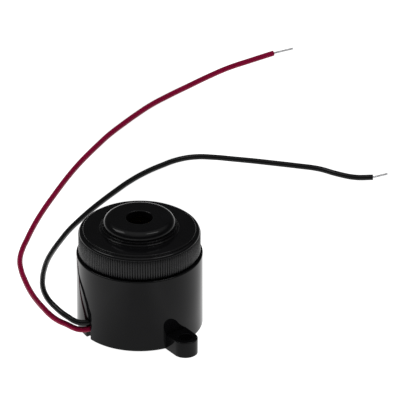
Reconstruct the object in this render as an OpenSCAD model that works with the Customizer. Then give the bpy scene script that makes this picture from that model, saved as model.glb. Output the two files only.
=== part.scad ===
// Round piezo buzzer with a knurled cap, two screw lugs and two flying leads.
// Millimetres, +Z up. Origin at the centre of the underside, lugs along X,
// lead slot towards -Y.

/* [Housing] */
// Outside diameter of the round housing
body_d = 30; // [30:0.5:40]
// Height of the housing, up to the face that the cap sits on
housing_h = 18.85; // [15.6:0.05:26]
// Wall thickness of the housing
wall_t = 1.3; // [1:0.1:1.6]
// Chamfer around the outer edges of the housing
edge_chamfer = 0.3; // [0.1:0.1:0.5]
// Width of each of the ribs that stop the circuit board
rib_w = 1.2; // [0.8:0.1:2]
// How far those ribs stand in from the wall
rib_depth = 1.6; // [1:0.1:2]
// Number of ribs that stop the circuit board
rib_n = 6; // [3:1:6]

/* [Screw lugs] */
// Distance from the side of the housing to the centre of each screw hole
hole_reach = 3.5; // [3.5:0.1:8]
// Diameter of each screw hole
screw_hole_d = 3.2; // [2.2:0.1:3.6]
// Width of a lug, which is also the diameter of its round end
lug_w = 5.9; // [5.4:0.1:8]
// Height of a lug
lug_h = 4; // [2:0.1:6]

/* [Lead slot] */
// Gap between a lead and each side of the slot that both leave through
slot_gap = 0.15; // [0.1:0.05:0.6]

/* [Cap] */
// How far the cap's grip ribs stand in from the side of the housing
cap_inset = 0.5; // [0.3:0.05:0.8]
// Height of the knurled grip band
grip_h = 4.9; // [4.4:0.05:6]
// Number of grip ribs around the band
grip_n = 150; // [90:2:180]
// Depth of the grooves between the grip ribs
grip_depth = 0.2; // [0.1:0.05:0.3]
// Height and depth of the shadow groove under the band
groove = 0.35; // [0.2:0.05:0.5]
// Radius that rounds the edge above the band
rim_round = 0.6; // [0.3:0.05:0.8]
// Width of the ledge between the shoulder and the grip band
lip_w = 0.95; // [0.85:0.05:1.1]
// Height of the shoulder above that ledge
lip_h = 0.45; // [0.2:0.05:0.6]
// Width of the low step around the foot of the boss
step_w = 0.85; // [0.4:0.05:1.5]
// Height of that step
step_h = 0.4; // [0.2:0.1:0.5]
// Width of the fine collar that stands on the step around the boss
collar_w = 0.3; // [0.1:0.05:0.35]
// Height of that collar above the step
collar_h = 0.45; // [0.2:0.05:0.55]
// Diameter of the raised boss
boss_d = 17.2; // [12:0.1:21]
// Height of the boss above the shoulder
boss_h = 2.85; // [2.6:0.05:4]
// Radius that rounds the top edge of the boss
boss_r = 1.6; // [0.4:0.1:1.7]
// Diameter of the sound hole
sound_hole_d = 6.3; // [4.6:0.1:8]
// Thickness of the cap's top walls
cap_wall_t = 1.6; // [1.2:0.1:2]
// Length of the cap's spigot inside the housing
spigot_h = 4; // [2:0.1:6]

/* [Sounder disc] */
// Diameter of the brass plate
disc_d = 25; // [20:0.5:25]
// Thickness of the brass plate
disc_t = 0.3; // [0.2:0.05:0.4]
// Width of the bare rim of the plate around the ceramic
bare_rim = 3.5; // [3:0.1:5]
// Thickness of the ceramic
ceramic_t = 0.2; // [0.15:0.05:0.3]
// Height of the disc's seat above the cap's own seat
disc_seat_h = 1.8; // [1.4:0.1:3]
// Width of the ledge that the rim of the disc is glued to
disc_ledge = 1.2; // [0.8:0.1:1.6]
// Thickness of the glue under the rim
glue_t = 0.2; // [0.1:0.05:0.3]
// Height of the ring that holds the disc in
retainer_h = 2; // [1:0.1:3]

/* [Circuit board] */
// Height of the board's lower face above the underside
board_z = 7.6; // [7.6:0.1:9]
// Thickness of the board
board_t = 1.2; // [0.8:0.1:1.6]
// Depth of the open recess under the sealing resin
recess_h = 1.2; // [0.4:0.1:1.5]
// Diameter of the coil on the board
coil_d = 8; // [6:0.5:9]
// Room between the top of the coil and the disc
coil_gap = 3.1; // [0.6:0.1:5]

/* [Leads] */
// Outside diameter of each lead's insulation
lead_d = 1.4; // [1:0.1:1.7]
// Diameter of the tinned strands at the end of a lead
strand_d = 0.5; // [0.4:0.1:1]
// Bare length at the end of the red lead
red_tip_l = 5.8; // [3:0.1:10]
// Bare length at the end of the black lead
black_tip_l = 4; // [3:0.1:10]

/* [Hidden] */
$fn = 96;

// Gap between moulded pieces that slide together
fit = 0.05;
// A little more than nothing, so that cuts pass right through
over = 0.5;

body_r = body_d / 2;
bore_r = body_r - wall_t;
hole_pitch = body_d + 2 * hole_reach;
cap_r = body_r - cap_inset;
step_r = boss_d / 2 + step_w;
collar_r = boss_d / 2 + collar_w;
core_r = cap_r - grip_depth - fit;
rim_r = cap_r - grip_depth / 2 - fit;
lip_r = rim_r - lip_w;
lip_chamfer = 0.15;
hole_chamfer = 0.2;
step_chamfer = 0.75 * step_h;
spigot_chamfer = 0.3;
grip_z = housing_h + groove;
ledge_z = grip_z + grip_h + rim_round;
shoulder_z = ledge_z + lip_h;
step_z = shoulder_z + step_h;
collar_z = step_z + collar_h;
collar_chamfer = 0.1;
top_z = shoulder_z + boss_h;
disc_bore_r = disc_d / 2 + 3 * fit;
ceramic_r = disc_d / 2 - bare_rim;
cavity_r = disc_bore_r - disc_ledge;
seat_z = housing_h + disc_seat_h;
brass_z = seat_z - glue_t - disc_t;
ceramic_z = brass_z - ceramic_t;
electrode_t = 0.05;
electrode_z = ceramic_z - electrode_t;
chamber_r = boss_d / 2 - cap_wall_t;
board_top = board_z + board_t;
coil_h = electrode_z - coil_gap - board_top;
board_r = bore_r - 2 * fit;
spigot_z = housing_h - spigot_h;
rib_top = spigot_z - 4 * fit;

// Feedback tongue: a strip that runs in from the -Y edge of the silver
silver_r = ceramic_r - 0.4;
tongue_w = 4;
tongue_l = 3.6;
tongue_gap = 0.4;

// Solder on the disc, and where the three inner wires run
joint_h = 0.45;
joint_foot_r = 0.8;
joint_top_r = 0.5;
wire_r = 0.35;
wire_upright = 2;
elbow_swell = 0.03;
ground_at = (ceramic_r + cavity_r) / 2 * [cos(200), sin(200)];
drive_at = (silver_r - 2.5) * [cos(100), sin(100)];
feedback_at = [0, 2.2 - silver_r];
ground_pad = [-9.2, -1];
drive_pad = [-1.5, 8.8];
feedback_pad = [0.5, -9];

// Legs that pass through the board
leg_r = 0.25;
leg_hole_r = 0.35;
cone_foot_r = 0.5;
cone_tip_r = 0.25;
cone_h = 0.7;

// Coil: a drum with a flange at each end
coil_at = [4.6, 3];
flange_t = 1.2;
drum_core_r = coil_d / 4;
pin_ring_r = 2.6;
coil_legs = [for (a = [90, 210, 330]) coil_at + pin_ring_r * [cos(a), sin(a)]];

// Transistor: a flat-faced moulding on three legs
transistor_at = [-5.6, 4.2];
transistor_r = 2.4;
transistor_flat = 1.4;
transistor_h = 4.6;
transistor_lift = 2;
transistor_pitch = 1.27;
transistor_legs_at = [for (i = [-1, 0, 1]) transistor_at + [i * transistor_pitch, 0]];

// Axial pieces: place of the middle, diameter and length of the body
axial_pitch = 6.4;
axial_lift = 0.15;
base_resistor_at = [-4.6, -0.9];
feedback_resistor_at = [-4.6, -4.3];
diode_at = [5.4, -4.6];
resistor_d = 1.8;
resistor_l = 3.3;
diode_d = 1.7;
diode_l = 3;
function axial_legs(at) = [at - [axial_pitch / 2, 0], at + [axial_pitch / 2, 0]];

// Every place where a leg goes through the board
leg_places = concat(coil_legs, transistor_legs_at, axial_legs(base_resistor_at),
                    axial_legs(feedback_resistor_at), axial_legs(diode_at));

// Routes of the two leads, from the board, through the slot and over the table
lead_r = lead_d / 2;
lie = lead_r;
bend_r = 2.8;
red_z = 2.6;
black_z = 4.4;
slot_w = lead_d + 2 * slot_gap;
slot_h = black_z + lead_r + 2 * slot_gap;
red_up_y = -5.5;
black_up_y = -10.2;
red_route = [
    [0, red_up_y, board_z], [0, red_up_y, 5.1], [0, -5.9, 3.9], [0, -6.9, 2.9],
    [0, -8.3, red_z], [0, -14.3, red_z], [-0.1, -15, red_z], [-0.4, -15.7, 2.55],
    [-1.4, -16.7, 2.45], [-2.8, -17.1, 2.3], [-5.3, -17.4, 2.15], [-8.4, -17.9, 2],
    [-11.8, -17.8, 1.9], [-15.9, -17, 1.65], [-21, -15.6, 1.1], [-25.9, -14, 0.8],
    [-30.5, -12.2, lie], [-35, -10.2, lie], [-39.4, -7.6, lie], [-43.2, -4.3, lie],
    [-46.8, -0.4, lie], [-50.2, 3.4, lie], [-53.7, 7.6, lie], [-57.1, 12, lie],
    [-60.3, 16.4, lie], [-63.5, 20.9, lie], [-67, 26, lie], [-70.2, 31, lie],
    [-73.1, 36, lie], [-75.8, 41, lie], [-78.6, 46.5, lie], [-80.9, 52, lie],
    [-83.2, 58, lie], [-85.3, 64.3, lie], [-86.8, 71.1, lie], [-88, 78, lie],
    [-89.2, 85.1, lie], [-90, 92.1, lie], [-89.9, 99, lie], [-89.7, 106.1, lie]];
black_route = [
    [0, black_up_y, board_z], [0, black_up_y, 7.2], [0, -10.6, 5.8], [0, -11.6, 4.8],
    [0, -13, black_z], [0, -14.3, black_z], [-0.1, -15, black_z], [-0.4, -15.7, 4.4],
    [-1.4, -16.7, 4.35], [-2.3, -17.4, 4.6], [-4, -17.9, 4.95], [-5.8, -18.4, 5.4],
    [-8.2, -18.5, 5.75], [-10.9, -18.3, 6], [-14.1, -17.4, 6], [-17.9, -15.6, 5.75],
    [-22.4, -12.6, 5.2], [-26.9, -9, 4.5], [-31.2, -5.1, 3.7], [-35.2, -0.8, 2.9],
    [-39.6, 4.6, 2.1], [-43.7, 10.1, 1.4], [-46.9, 15.4, 0.95], [-49.5, 20.4, 0.75],
    [-51.7, 25.4, lie], [-53.8, 30.8, lie], [-55.9, 36.7, lie], [-57.3, 42.5, lie],
    [-57.9, 48, lie], [-57.9, 53.1, lie], [-56.5, 57.4, lie], [-53.7, 60.9, lie],
    [-49.9, 64.5, lie], [-46, 68.1, lie], [-42.1, 71.5, lie], [-37.9, 75.1, lie],
    [-33.6, 78.5, lie], [-28.5, 80.8, lie], [-24.7, 83.2, lie], [-22.1, 86.8, lie]];
lead_sides = 8;

// How far the bare strands turn aside where the insulation ends
red_tip_turn = -7.5;
black_tip_turn = 26;

function unit(v) = v / norm(v);
function heading(p, i) = unit(p[min(i + 1, len(p) - 1)] - p[max(i - 1, 0)]);

// Level direction square to a heading, and the corners of one ring around it
function sideways(d) = norm(cross(d, [0, 0, 1])) > 0.05 ? unit(cross(d, [0, 0, 1])) : [-1, 0, 0];
function ring(at, d, r) = [
    for (k = [0 : lead_sides - 1])
        let (a = k * 360 / lead_sides, s = sideways(d))
            at + r * (cos(a) * s + sin(a) * cross(s, d))];

// Points of an arc in a profile, from angle a to angle b
function arc(centre, r, a, b, n = 8) = [
    for (i = [0 : n])
        let (turn = a + (b - a) * i / n)
            centre + r * [cos(turn), sin(turn)]];

// Round tube that follows a route
module tube(route, r) {
    rings = len(route);
    points = [for (i = [0 : rings - 1]) each ring(route[i], heading(route, i), r)];
    skin = [for (i = [0 : rings - 2], k = [0 : lead_sides - 1])
        let (a = i * lead_sides + k, b = i * lead_sides + (k + 1) % lead_sides)
        [a, b, b + lead_sides, a + lead_sides]];
    start = [for (k = [lead_sides - 1 : -1 : 0]) k];
    end = [for (k = [0 : lead_sides - 1]) (rings - 1) * lead_sides + k];
    polyhedron(points, concat(skin, [start, end]), convexity = 8);
}

// Straight round rod between two points
module rod(a, b, r) {
    d = b - a;
    translate(a)
        rotate([0, acos(d[2] / norm(d)), atan2(d[1], d[0])])
            cylinder(h = norm(d), r = r, $fn = 24);
}

// An inner wire, from its joint on the board up to its joint on the disc: upright
// for a little way at both ends, and leaning across in between
module inner_wire(pad, spot, under) {
    low = [pad[0], pad[1], board_top + joint_h];
    high = [spot[0], spot[1], under - joint_h];
    upright = [0, 0, wire_upright];
    rod(low, low + upright, wire_r);
    rod(low + upright, high - upright, wire_r);
    rod(high - upright, high, wire_r);
    for (elbow = [low + upright, high - upright])
        translate(elbow)
            sphere(r = wire_r + elbow_swell, $fn = 24);
}

// Solder cone with its wide end at z = 0
module joint(foot, tip, h) {
    cylinder(h = h, r1 = foot, r2 = tip);
}

// Outline of one lug, from inside the wall to its round end
module lug() {
    translate([body_r - wall_t / 2, -lug_w / 2, 0])
        cube([hole_pitch / 2 - body_r + wall_t / 2, lug_w, lug_h]);
    translate([hole_pitch / 2, 0, 0])
        cylinder(h = lug_h, d = lug_w);
}

module housing() {
    color([0.08, 0.08, 0.09])
    difference() {
        union() {
            rotate_extrude()
                polygon([[0, 0], [body_r - edge_chamfer, 0], [body_r, edge_chamfer],
                         [body_r, housing_h - edge_chamfer], [body_r - edge_chamfer, housing_h],
                         [0, housing_h]]);
            for (a = [0, 180])
                rotate([0, 0, a])
                    lug();
        }
        difference() {
            translate([0, 0, -over])
                cylinder(h = housing_h + 2 * over, r = bore_r);
            for (i = [0 : rib_n - 1])
                rotate([0, 0, i * 360 / rib_n])
                    translate([bore_r - rib_depth, -rib_w / 2, board_top])
                        cube([rib_depth + wall_t / 2, rib_w, rib_top - board_top]);
        }
        for (x = [-hole_pitch / 2, hole_pitch / 2])
            translate([x, 0, -over])
                cylinder(h = lug_h + 2 * over, d = screw_hole_d);
        translate([-slot_w / 2, -body_r - over, -over])
            cube([slot_w, wall_t + 2 * over, slot_h + over]);
    }
}

// Outline of the grip band: a crest and a groove for each rib
module grip_outline() {
    polygon([
        for (i = [0 : 2 * grip_n - 1])
            let (r = cap_r - grip_depth * (i % 2), a = i * 180 / grip_n)
                r * [cos(a), sin(a)]]);
}

module cap() {
    hole_r = sound_hole_d / 2;
    inner = [
        [disc_bore_r, spigot_z], [disc_bore_r, seat_z], [cavity_r, seat_z],
        [cavity_r, shoulder_z - cap_wall_t], [chamber_r, shoulder_z - cap_wall_t],
        [chamber_r, top_z - cap_wall_t], [hole_r, top_z - cap_wall_t],
        [hole_r, top_z - hole_chamfer], [hole_r + hole_chamfer, top_z]];
    outer = concat(
        arc([boss_d / 2 - boss_r, top_z - boss_r], boss_r, 90, 0),
        [[boss_d / 2, collar_z], [collar_r - collar_chamfer, collar_z],
         [collar_r, collar_z - collar_chamfer], [collar_r, step_z],
         [step_r - step_chamfer, step_z], [step_r, step_z - step_chamfer],
         [step_r, shoulder_z]],
        [[lip_r - lip_chamfer, shoulder_z], [lip_r, shoulder_z - lip_chamfer],
         [lip_r, ledge_z]],
        arc([rim_r - rim_round, ledge_z - rim_round], rim_round, 90, 0),
        [[core_r, grip_z + grip_h], [core_r, grip_z],
         [core_r - groove, grip_z], [core_r - groove, housing_h], [bore_r - fit, housing_h],
         [bore_r - fit, spigot_z + spigot_chamfer], [bore_r - fit - spigot_chamfer, spigot_z]]);
    color([0.09, 0.09, 0.1]) {
        rotate_extrude()
            polygon(concat(inner, outer));
        difference() {
            translate([0, 0, grip_z])
                linear_extrude(height = grip_h)
                    grip_outline();
            translate([0, 0, grip_z - over])
                cylinder(h = grip_h + 2 * over, r = core_r - groove);
        }
    }
}

// Flat ring between two radii
module flat_ring(outer, inner, h) {
    difference() {
        cylinder(h = h, r = outer);
        translate([0, 0, -over])
            cylinder(h = h + 2 * over, r = inner);
    }
}

module disc_glue() {
    color([0.75, 0.75, 0.72])
    translate([0, 0, seat_z - glue_t])
        flat_ring(disc_d / 2, cavity_r + 3 * fit, glue_t);
}

module brass_plate() {
    color([0.78, 0.62, 0.28])
    translate([0, 0, brass_z])
        cylinder(h = disc_t, d = disc_d);
}

module piezo_ceramic() {
    color([0.85, 0.8, 0.68])
    translate([0, 0, ceramic_z])
        cylinder(h = ceramic_t, r = ceramic_r);
}

// Strip for the feedback signal, made wider by grow all round
module tongue(grow, h) {
    translate([0, tongue_l - silver_r, 0])
        cylinder(h = h, r = tongue_w / 2 + grow);
    translate([-tongue_w / 2 - grow, -ceramic_r - over, 0])
        cube([tongue_w + 2 * grow, ceramic_r + over + tongue_l - silver_r, h]);
}

module main_electrode() {
    color([0.8, 0.8, 0.8])
    translate([0, 0, electrode_z])
        difference() {
            cylinder(h = electrode_t, r = silver_r);
            translate([0, 0, -over])
                tongue(tongue_gap, electrode_t + 2 * over);
        }
}

module feedback_electrode() {
    color([0.8, 0.8, 0.8])
    translate([0, 0, electrode_z])
        intersection() {
            cylinder(h = electrode_t, r = silver_r);
            tongue(0, electrode_t);
        }
}

module disc_joints() {
    color([0.7, 0.7, 0.72])
    for (j = [[ground_at, brass_z], [drive_at, electrode_z], [feedback_at, electrode_z]])
        translate([j[0][0], j[0][1], j[1]])
            mirror([0, 0, 1])
                joint(joint_foot_r, joint_top_r, joint_h);
}

module disc_retainer() {
    color([0.15, 0.15, 0.15])
    translate([0, 0, brass_z - retainer_h])
        flat_ring(disc_bore_r - fit, cavity_r, retainer_h);
}

module ground_wire() {
    color([0.1, 0.1, 0.1])
    inner_wire(ground_pad, ground_at, brass_z);
}

module drive_wire() {
    color([0.7, 0.1, 0.1])
    inner_wire(drive_pad, drive_at, electrode_z);
}

module feedback_wire() {
    color([0.1, 0.2, 0.7])
    inner_wire(feedback_pad, feedback_at, electrode_z);
}

module circuit_board() {
    color([0.55, 0.42, 0.2])
    difference() {
        translate([0, 0, board_z])
            cylinder(h = board_t, r = board_r);
        for (p = leg_places)
            translate([p[0], p[1], board_z - over])
                cylinder(h = board_t + 2 * over, r = leg_hole_r, $fn = 24);
    }
}

module board_joints() {
    color([0.7, 0.7, 0.72]) {
        for (p = leg_places)
            translate([p[0], p[1], board_z])
                mirror([0, 0, 1])
                    joint(cone_foot_r, cone_tip_r, cone_h, $fn = 24);
        for (p = [ground_pad, drive_pad, feedback_pad])
            translate([p[0], p[1], board_top])
                joint(joint_foot_r, joint_top_r, joint_h);
    }
}

// Straight leg from the solder side of the board up to a height
module leg(p, up_to) {
    translate([p[0], p[1], board_z])
        cylinder(h = up_to - board_z, r = leg_r, $fn = 24);
}

module coil_core() {
    color([0.25, 0.25, 0.26])
    translate([coil_at[0], coil_at[1], board_top]) {
        cylinder(h = flange_t, d = coil_d);
        cylinder(h = coil_h, r = drum_core_r);
        translate([0, 0, coil_h - flange_t])
            cylinder(h = flange_t, d = coil_d);
    }
}

module coil_winding() {
    color([0.7, 0.35, 0.12])
    translate([coil_at[0], coil_at[1], board_top + flange_t])
        flat_ring(coil_d / 2 - 0.4, drum_core_r + fit, coil_h - 2 * flange_t);
}

module coil_pins() {
    color([0.75, 0.75, 0.76])
    for (p = coil_legs)
        leg(p, board_top);
}

module transistor() {
    color([0.1, 0.1, 0.1])
    translate([transistor_at[0], transistor_at[1], board_top + transistor_lift])
        intersection() {
            cylinder(h = transistor_h, r = transistor_r);
            translate([-transistor_r, -transistor_flat, 0])
                cube([2 * transistor_r, transistor_flat + transistor_r, transistor_h]);
        }
}

module transistor_legs() {
    color([0.75, 0.75, 0.76])
    for (p = transistor_legs_at)
        leg(p, board_top + transistor_lift);
}

// Body of an axial piece, lying along X just above the board
module axial_body(at, d, l) {
    translate([at[0] - l / 2, at[1], board_top + axial_lift + d / 2])
        rotate([0, 90, 0])
            cylinder(h = l, d = d);
}

// Its two wires, each bent down through the board
module axial_wires(at, d, l) {
    z = board_top + axial_lift + d / 2;
    for (turn = [0, 180])
        translate([at[0], at[1], 0])
            rotate([0, 0, turn]) {
                translate([l / 2, 0, z])
                    rotate([0, 90, 0])
                        cylinder(h = axial_pitch / 2 - l / 2, r = leg_r, $fn = 24);
                translate([axial_pitch / 2, 0, z])
                    sphere(r = leg_r + elbow_swell, $fn = 24);
                translate([axial_pitch / 2, 0, board_z])
                    cylinder(h = z - board_z, r = leg_r, $fn = 24);
            }
}

module base_resistor() {
    color([0.75, 0.65, 0.45])
    axial_body(base_resistor_at, resistor_d, resistor_l);
}

module base_resistor_wires() {
    color([0.75, 0.75, 0.76])
    axial_wires(base_resistor_at, resistor_d, resistor_l);
}

module feedback_resistor() {
    color([0.75, 0.65, 0.45])
    axial_body(feedback_resistor_at, resistor_d, resistor_l);
}

module feedback_resistor_wires() {
    color([0.75, 0.75, 0.76])
    axial_wires(feedback_resistor_at, resistor_d, resistor_l);
}

module protection_diode() {
    color([0.15, 0.15, 0.16])
    axial_body(diode_at, diode_d, diode_l);
}

module protection_diode_wires() {
    color([0.75, 0.75, 0.76])
    axial_wires(diode_at, diode_d, diode_l);
}

// Room in the resin for one lead: in from the slot, round a bend and up
module lead_channel(z, up_y) {
    r = lead_r + 2 * fit;
    translate([0, up_y - bend_r, z])
        rotate([90, 0, 0])
            cylinder(h = body_r + up_y, r = r, $fn = 48);
    translate([0, up_y - bend_r, z + bend_r])
        rotate([90, 0, 90])
            rotate([0, 0, -90])
                rotate_extrude(angle = 90)
                    translate([bend_r, 0])
                        circle(r = r, $fn = 48);
    translate([0, up_y, z + bend_r])
        cylinder(h = board_z - z - bend_r + over, r = r, $fn = 48);
}

module sealing_resin() {
    color([0.07, 0.07, 0.07])
    difference() {
        translate([0, 0, recess_h])
            cylinder(h = board_z - recess_h, r = bore_r - fit);
        for (p = leg_places)
            translate([p[0], p[1], board_z - cone_h - fit])
                cylinder(h = cone_h + over, r = cone_foot_r + fit, $fn = 24);
        lead_channel(red_z, red_up_y);
        lead_channel(black_z, black_up_y);
    }
}

// Bare tinned strands past the end of a lead, turned aside by turn
module tip(route, l, turn) {
    last = len(route) - 1;
    d = heading(route, last);
    translate(route[last])
        rotate([0, 0, atan2(d[1], d[0])])
            difference() {
                rotate([0, 90, turn])
                    translate([0, 0, -strand_d])
                        cylinder(h = l + strand_d, d = strand_d, $fn = 32);
                translate([-3 * strand_d, -3 * strand_d, -strand_d])
                    cube([3 * strand_d, 6 * strand_d, 2 * strand_d]);
            }
}

module red_lead() {
    color([0.6, 0.05, 0.2])
    tube(red_route, lead_r);
}

module red_lead_tip() {
    color([0.7, 0.7, 0.72])
    tip(red_route, red_tip_l, red_tip_turn);
}

module black_lead() {
    color([0.08, 0.08, 0.08])
    tube(black_route, lead_r);
}

module black_lead_tip() {
    color([0.7, 0.7, 0.72])
    tip(black_route, black_tip_l, black_tip_turn);
}

housing();
cap();
disc_glue();
brass_plate();
piezo_ceramic();
main_electrode();
feedback_electrode();
disc_joints();
disc_retainer();
ground_wire();
drive_wire();
feedback_wire();
circuit_board();
board_joints();
coil_core();
coil_winding();
coil_pins();
transistor();
transistor_legs();
base_resistor();
base_resistor_wires();
feedback_resistor();
feedback_resistor_wires();
protection_diode();
protection_diode_wires();
sealing_resin();
red_lead();
red_lead_tip();
black_lead();
black_lead_tip();
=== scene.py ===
"""A round piezo buzzer: knurled cap, screw lugs, sealed works and two flying leads.

Everything is in metres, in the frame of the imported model: origin at the centre of the
underside, +Z up, lugs along X, lead slot towards -Y. Each class holds the sizes of one
sub-assembly, makes the meshes that stand in for its plain solids and dresses the rest.
"""

from __future__ import annotations

import logging
import math
from dataclasses import dataclass, field
from enum import Enum

import bmesh
import bpy
from mathutils import Matrix, Vector

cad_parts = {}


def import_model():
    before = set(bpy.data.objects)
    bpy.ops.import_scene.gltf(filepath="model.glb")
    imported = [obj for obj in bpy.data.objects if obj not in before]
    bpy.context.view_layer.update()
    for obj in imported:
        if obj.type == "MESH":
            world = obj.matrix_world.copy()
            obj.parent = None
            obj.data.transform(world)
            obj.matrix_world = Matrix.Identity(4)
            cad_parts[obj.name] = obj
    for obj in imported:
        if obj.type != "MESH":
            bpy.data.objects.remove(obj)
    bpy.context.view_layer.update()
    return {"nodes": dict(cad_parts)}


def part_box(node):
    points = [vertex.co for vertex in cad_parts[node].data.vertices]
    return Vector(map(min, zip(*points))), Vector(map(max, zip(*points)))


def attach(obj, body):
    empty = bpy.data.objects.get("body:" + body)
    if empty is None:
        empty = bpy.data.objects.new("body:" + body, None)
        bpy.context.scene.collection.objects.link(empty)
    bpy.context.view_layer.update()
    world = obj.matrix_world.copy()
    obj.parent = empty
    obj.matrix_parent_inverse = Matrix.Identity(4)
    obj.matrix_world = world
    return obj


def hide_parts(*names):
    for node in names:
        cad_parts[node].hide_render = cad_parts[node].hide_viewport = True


LOG = logging.getLogger("buzzer")
MM = 0.001
BODY = "root"

Point = tuple[float, float, float]
Colour = tuple[float, float, float]
BMesh = bmesh.types.BMesh
Node = bpy.types.Node
Object = bpy.types.Object
Socket = bpy.types.NodeSocket
Tree = bpy.types.NodeTree


class Grain(Enum):
    """The fine structure that breaks up a surface."""

    MOULDED = "moulded"
    CAST = "cast"
    TURNED = "turned"
    WOUND = "wound"
    ROLLED = "rolled"
    FIBROUS = "fibrous"
    FIRED = "fired"


# Detail and stretch of the noise behind each grain that isn't a wave.
GRAIN_NOISE: dict[Grain, tuple[float, Point]] = {
    Grain.MOULDED: (2.0, (1.0, 1.0, 1.0)),
    Grain.CAST: (1.0, (1.0, 1.0, 1.0)),
    Grain.ROLLED: (3.0, (0.12, 1.0, 1.0)),
    Grain.FIBROUS: (6.0, (1.0, 0.25, 1.0)),
    Grain.FIRED: (5.0, (1.0, 1.0, 1.0)),
}
# Options of the wave behind each grain that is one.
GRAIN_WAVE: dict[Grain, dict[str, object]] = {
    Grain.WOUND: {"wave_type": "BANDS", "bands_direction": "Z"},
    Grain.TURNED: {"wave_type": "RINGS", "rings_direction": "Z"},
}
WAVE_SCALE = 0.314  # scale of a wave texture times the spacing of its crests
WAVE_DISTORTION = 0.4
CLOUD_GRAINS = 12.0  # grain sizes across one cloud of the slow noise
CLOUD_DETAIL = 3.0
RELIEF_GRAINS = 0.05  # depth of the bump in grain sizes
COAT_ROUGHNESS = 0.12
COLOUR_FROM, COLOUR_TO = 0.35, 0.7  # slow noise at which the drift of colour starts and ends
ROUGH_FROM, ROUGH_TO = 0.1, 0.45  # product of the noises at the lowest and highest roughness


def add_node(tree: Tree, kind: str, settings: dict[str, object] | None = None,
             **inputs: object) -> Node:
    """Adds a node, sets its options and fills its inputs.

    Args:
        tree: Tree to add to.
        kind: Node type.
        settings: Options of the node.
        inputs: Values or sockets, by input name with _ for a space, or by place as i0, i1.

    Returns:
        The node.
    """
    node = tree.nodes.new(kind)
    for key, value in (settings or {}).items():
        setattr(node, key, value)
    for key, value in inputs.items():
        by_place = key[0] == "i" and key[1:].isdigit()
        socket = node.inputs[int(key[1:]) if by_place else key.replace("_", " ")]
        if isinstance(value, Socket):
            tree.links.new(value, socket)
        else:
            socket.default_value = value
    return node


# --- Finishes ---


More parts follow.
